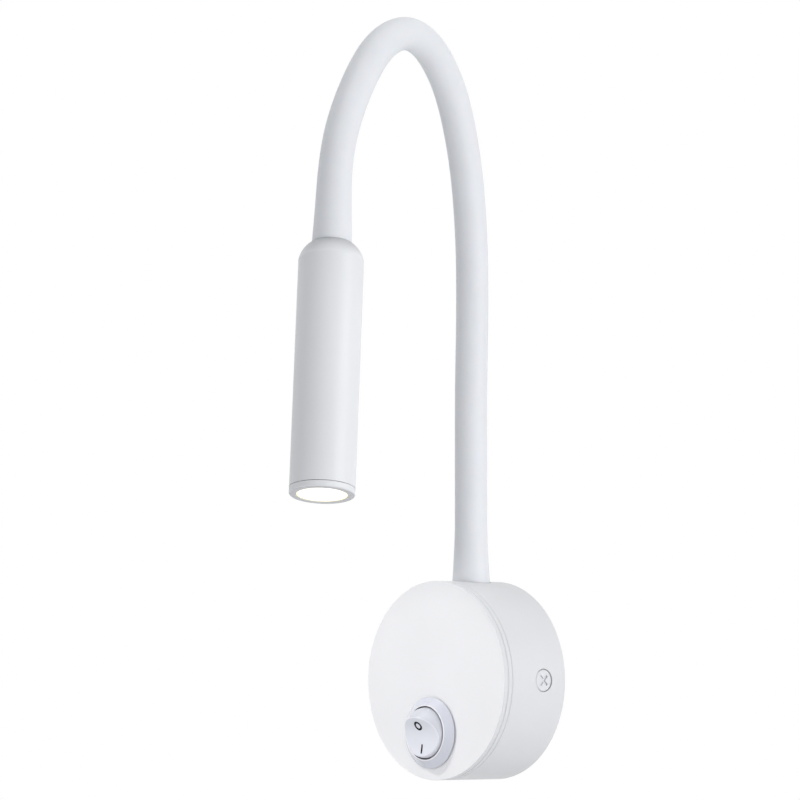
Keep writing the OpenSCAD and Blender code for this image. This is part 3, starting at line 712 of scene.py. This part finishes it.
def make_neck(materials):
    """The sleeve, coil and cable, each in five pieces that meet midway between the neck's joints."""
    total = neck_length()
    lips = [LIP_R * share for share in LIP_STEPS]
    lips += [total - p for p in lips]
    joints = len(NECK_BODIES) - 1
    for i in range(joints):
        number = i + 1
        middle = NECK_FOOT + 2 * NECK_ARC * i
        start = middle - NECK_ARC if i else 0.0
        end = middle + NECK_ARC if number < joints else total
        coil_start, coil_end = max(start, COIL_INSET), min(end, total - COIL_INSET)
        sleeve = neck_pipe(
            f"neck_sleeve_{number}", spaced(start, end, SLEEVE_STEP, lips), sleeve_radius,
            SLEEVE_BORE_R, SLEEVE_SIDES, materials["white_silicone"],
        )
        coil = neck_pipe(
            f"neck_spring_{number}", spaced(coil_start, coil_end, COIL_STEP), coil_radius,
            COIL_BORE_R, COIL_SIDES, materials["coil_steel"],
        )
        cable = neck_pipe(
            f"neck_cable_{number}", spaced(start, end, CABLE_STEP), cable_radius,
            0, CABLE_SIDES, materials["white_cable"],
        )
        for piece in (sleeve, coil, cable):
            bend_over(piece, middle)
        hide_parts("silicone_sleeve")
        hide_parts(NECK_COILS[i], NECK_COILS[i + 1])
        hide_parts("led_cable")


def places_along(points):
    """A place at each point, its z axis along the way."""
    places = []
    for i, point in enumerate(points):
        way = points[min(i + 1, len(points) - 1)] - points[max(i - 1, 0)]
        places.append(Matrix.Translation(point) @ way.to_track_quat("Z", "Y").to_matrix().to_4x4())
    return places


def eased(start, end, count):
    """Points from start to end that leave and arrive along z, as a cable does between two straight ends."""
    points = []
    for i in range(count + 1):
        t = i / count
        blend = t * t * (3 - 2 * t)
        points.append(Vector((
            start.x + (end.x - start.x) * blend,
            start.y + (end.y - start.y) * blend,
            start.z + (end.z - start.z) * t,
        )))
    return points


def make_cable_ends(materials):
    """The cable below the neck, down to the driver, and above the LED board, through the heat sink."""
    low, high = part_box("led_driver")
    sleeve_foot = neck_place(0).translation
    driver_top = Vector((0, high.y - CABLE_R - CABLE_INSET, high.z))
    stem_foot = sleeve_foot - Vector((0, 0, STEM_BELOW_SLEEVE))
    in_drum = eased(driver_top, stem_foot, DRUM_CABLE_STEPS) + [sleeve_foot]
    stem_end = Vector((0, 0, HEAD_STEM))
    sink = Vector((SINK_BORE_X, 0, SINK_Z - SINK_APPROACH))
    board = Vector((SINK_BORE_X, 0, BOARD_Z))
    in_head = [Vector((0, 0, 0))] + eased(stem_end, sink, HEAD_CABLE_STEPS) + [board]
    ends = (
        ("drum_cable", in_drum, Matrix.Identity(4), "base"),
        ("head_cable", in_head, neck_place(neck_length()), "head"),
    )
    for name, points, frame, body in ends:
        places = [frame @ place for place in places_along(points)]
        radii = [CABLE_R] * len(places)
        piece = pipe(name, places, radii, 0, CABLE_SIDES, materials["white_cable"])
        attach(piece, body)
        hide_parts("led_cable")


def rocker_place():
    turn = Matrix.Rotation(math.radians(90 + ROCKER_TILT), 4, "X")
    return Matrix.Translation(SWITCH_PIVOT) @ turn


def rocker_radius():
    return math.hypot(OPENING_R - ROCKER_GAP, PIVOT_BACK)


def hollow(y):
    """Height of the rocker's hollow face above the pivot."""
    return DISH_UP + DISH_R - math.sqrt(DISH_R**2 - y**2)


def face_reach(angle):
    """Distance from the middle, in one direction, at which the hollow face meets the round flank."""
    low, high = 0.0, rocker_radius()
    for halving in range(FACE_HALVINGS):
        middle = (low + high) / 2
        inside = middle**2 + hollow(middle * math.sin(angle)) ** 2 < rocker_radius() ** 2
        low, high = (middle, high) if inside else (low, middle)
    return low


def rocker_profile(angle):
    """Outline of the rocker in one direction: hollow face, rounded edge, flank, skirt and post."""
    radius = rocker_radius()
    reach = face_reach(angle)
    corner = Vector((reach, hollow(reach * math.sin(angle))))
    inner = reach - ROCKER_EDGE
    face = []
    for i in range(1, FACE_STEPS + 1):
        out = inner * i / FACE_STEPS
        face.append(Vector((out, hollow(out * math.sin(angle)))))
    start = math.atan2(corner.y, corner.x) - ROCKER_EDGE / radius
    end = -math.asin(SKIRT_DOWN / radius)
    flank = []
    for i in range(FLANK_STEPS + 1):
        lift = start + (end - start) * i / FLANK_STEPS
        flank.append(Vector((radius * math.cos(lift), radius * math.sin(lift))))
    edge = []
    for i in range(1, EDGE_STEPS):
        t = i / EDGE_STEPS
        edge.append(face[-1] * (1 - t) ** 2 + corner * 2 * t * (1 - t) + flank[0] * t**2)
    post = (
        (POST_R, -SKIRT_DOWN), (POST_R, -POST_DOWN),
        (POST_BORE_R, -POST_DOWN), (POST_BORE_R, -POST_ROOF),
    )
    return face + edge + flank + [Vector(p) for p in post]


def add_trunnion(mesh, place, side):
    tip = rocker_radius() + TRUNNION_OUT
    steps = (
        (rocker_radius() - TRUNNION_ROOT, TRUNNION_R),
        (tip - TRUNNION_CHAMFER, TRUNNION_R),
        (tip, TRUNNION_R - TRUNNION_CHAMFER),
    )
    across = Matrix.Rotation(math.pi / 2, 4, "Y")
    capped_skin(mesh, [
        ring(mesh, place @ Matrix.Translation((side * out, 0, 0)) @ across, radius, TRUNNION_SIDES)
        for out, radius in steps
    ])


def make_rocker(materials):
    place = rocker_place()
    mesh = bmesh.new()
    columns = []
    for angle in turns(ROCKER_SIDES):
        columns.append([
            mesh.verts.new(place @ Vector((p.x * math.cos(angle), p.x * math.sin(angle), p.y)))
            for p in rocker_profile(angle)
        ])
    rings = list(zip(*columns))
    skin(mesh, rings, False)
    fan(mesh, rings[0], mesh.verts.new(place @ Vector((0, 0, DISH_UP))))
    fan(mesh, rings[-1], mesh.verts.new(place @ Vector((0, 0, -POST_ROOF))))
    for side in (-1, 1):
        add_trunnion(mesh, place, side)
    smooth(mesh, SWITCH_CREASE)
    rocker = new_piece("rocker_cap", mesh, materials["rocker_plastic"])
    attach(rocker, "rocker")
    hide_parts("switch_rocker")


def on_face(x, y, lift):
    return rocker_place() @ Vector((x, y, hollow(y) + lift))


def mark(name, outlines, materials):
    """A thin printed mark on the rocker's hollow face, between loops of points in order round its section."""
    mesh = bmesh.new()
    loops = [[mesh.verts.new(on_face(*point)) for point in loop] for loop in outlines]
    skin(mesh, loops, True)
    smooth(mesh, SWITCH_CREASE)
    piece = new_piece(name, mesh, materials["mark_ink"])
    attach(piece, "rocker")


def circle_points(radius, lift):
    return [
        (radius * math.cos(a), OFF_MARK_UP + radius * math.sin(a), lift)
        for a in turns(OFF_SIDES)
    ]


def bar_points(inset, lift):
    """Outline of the upright bar, with round ends."""
    half = ON_STROKE / 2 - inset
    straight = ON_MARK_LENGTH / 2 - ON_STROKE / 2
    points = []
    for end in (1, -1):
        middle = -ON_MARK_DOWN + end * straight
        for i in range(ON_END_STEPS + 1):
            angle = math.pi * i / ON_END_STEPS + (0 if end > 0 else math.pi)
            points.append((half * math.cos(angle), middle + half * math.sin(angle), lift))
    return points


def make_marks(materials):
    lifts = (-MARK_SINK, MARK_LIFT, MARK_LIFT, -MARK_SINK)
    inner = OFF_MARK_R - OFF_STROKE
    radii = (OFF_MARK_R, OFF_MARK_R, inner, inner)
    mark("mark_off", [circle_points(radius, lift) for radius, lift in zip(radii, lifts)], materials)
    core = ON_STROKE / 2 - MARK_CORE
    insets = (0, 0, core, core)
    mark("mark_on", [bar_points(inset, lift) for inset, lift in zip(insets, lifts)], materials)


def add_aimed(name, data, place, target):
    """A camera or light at a place, turned to a target."""
    thing = bpy.data.objects.new(name, data)
    thing.location = place
    thing.rotation_euler = (target - place).to_track_quat("-Z", "Y").to_euler()
    bpy.context.scene.collection.objects.link(thing)
    return thing


def make_camera():
    """The camera at the photo's angle. Returns its directions to the right and toward it."""
    right = Vector((math.cos(CAM_AZIMUTH), math.sin(CAM_AZIMUTH), 0))
    toward = Vector((math.sin(CAM_AZIMUTH), -math.cos(CAM_AZIMUTH), 0))
    eye = DRUM_MIDDLE + toward * CAM_DISTANCE
    aim = DRUM_MIDDLE - right * CAM_AIM_LEFT + Vector((0, 0, CAM_AIM_UP))
    data = bpy.data.cameras.new("camera")
    data.lens = CAM_LENS
    data.sensor_width = CAM_SENSOR
    data.clip_start = CAM_CLIP_START
    data.clip_end = CAM_CLIP_END
    bpy.context.scene.camera = add_aimed("camera", data, eye, aim)
    return right, toward


def white_when_seen(tree, plain, white, share=None):
    """Mixes to white, or to a share of white, for camera, glossy and transmission rays."""
    path = tree.nodes.new("ShaderNodeLightPath").outputs
    seen = compute(tree, "MAXIMUM", path["Is Camera Ray"], path["Is Glossy Ray"])
    seen = compute(tree, "MAXIMUM", seen, path["Is Transmission Ray"])
    if share:
        seen = compute(tree, "MULTIPLY", seen, share)
    mix = tree.nodes.new("ShaderNodeMixShader")
    tree.links.new(seen, mix.inputs["Fac"])
    tree.links.new(plain, mix.inputs[1])
    tree.links.new(white, mix.inputs[2])
    return mix.outputs[0]


def make_world():
    world = bpy.data.worlds.new("studio")
    world.use_nodes = True
    tree = world.node_tree
    plain = tree.nodes["Background"]
    set_inputs(plain, Color=(*AMBIENT_TINT, 1), Strength=AMBIENT)
    white = tree.nodes.new("ShaderNodeBackground")
    set_inputs(white, Color=(1, 1, 1, 1), Strength=1.0)
    surface = white_when_seen(tree, plain.outputs[0], white.outputs[0])
    tree.links.new(surface, tree.nodes["World Output"].inputs["Surface"])
    bpy.context.scene.world = world


def make_lights(right, toward):
    middle = DRUM_MIDDLE + LAMPS_AIM_UP * UP
    for name, to_right, to_camera, up, size, power in LAMPS:
        data = bpy.data.lights.new(name, "AREA")
        data.shape = "SQUARE"
        data.size = size
        data.energy = power
        add_aimed(name, data, middle + right * to_right + toward * to_camera + UP * up, middle)
    for name, place, power in SPOTS:
        data = bpy.data.lights.new(name, "SPOT")
        data.spot_size = SPOT_CONE
        data.spot_blend = SPOT_BLEND
        data.shadow_soft_size = SPOT_SIZE
        data.energy = power
        add_aimed(name, data, SPOTS_AIM + Vector(place), SPOTS_AIM)


def fade_outwards(tree, start, end):
    """Rises from 0 to 1 between two distances from the middle."""
    coords = tree.nodes.new("ShaderNodeTexCoord")
    fade = tree.nodes.new("ShaderNodeMapRange")
    fade.interpolation_type = "SMOOTHSTEP"
    set_inputs(fade, From_Min=start, From_Max=end)
    tree.links.new(length_of(tree, coords.outputs["Object"]), fade.inputs["Value"])
    return fade.outputs["Result"]


def make_floor():
    """A pale floor that keeps the shadow, and goes over into the white background."""
    mat, tree, shader = new_material("floor", Roughness=0.8)
    vary_colour(tree, shader, add_noise(tree, *FLOOR_CLOUDS), FLOOR_LOW, FLOOR_HIGH)
    white = tree.nodes.new("ShaderNodeEmission")
    set_inputs(white, Color=(1, 1, 1, 1), Strength=1.0)
    share = fade_outwards(tree, FLOOR_FADE_START, FLOOR_FADE_END)
    surface = white_when_seen(tree, shader.outputs["BSDF"], white.outputs["Emission"], share)
    tree.links.new(surface, tree.nodes["Material Output"].inputs["Surface"])
    mesh = bmesh.new()
    bmesh.ops.create_grid(mesh, x_segments=FLOOR_CUTS, y_segments=FLOOR_CUTS, size=FLOOR_REACH)
    floor = add_mesh("floor", mesh, mat)
    floor.location = (0, FLOOR_Y, FLOOR_Z)


def main():
    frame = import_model()
    bpy.context.scene.view_settings.view_transform = "Standard"
    right, toward = make_camera()
    materials = make_materials()
    finish_cad(frame["nodes"], materials)
    make_neck(materials)
    make_cable_ends(materials)
    make_rocker(materials)
    make_marks(materials)
    make_world()
    make_lights(right, toward)
    make_floor()
    bpy.context.view_layer.update()


main()
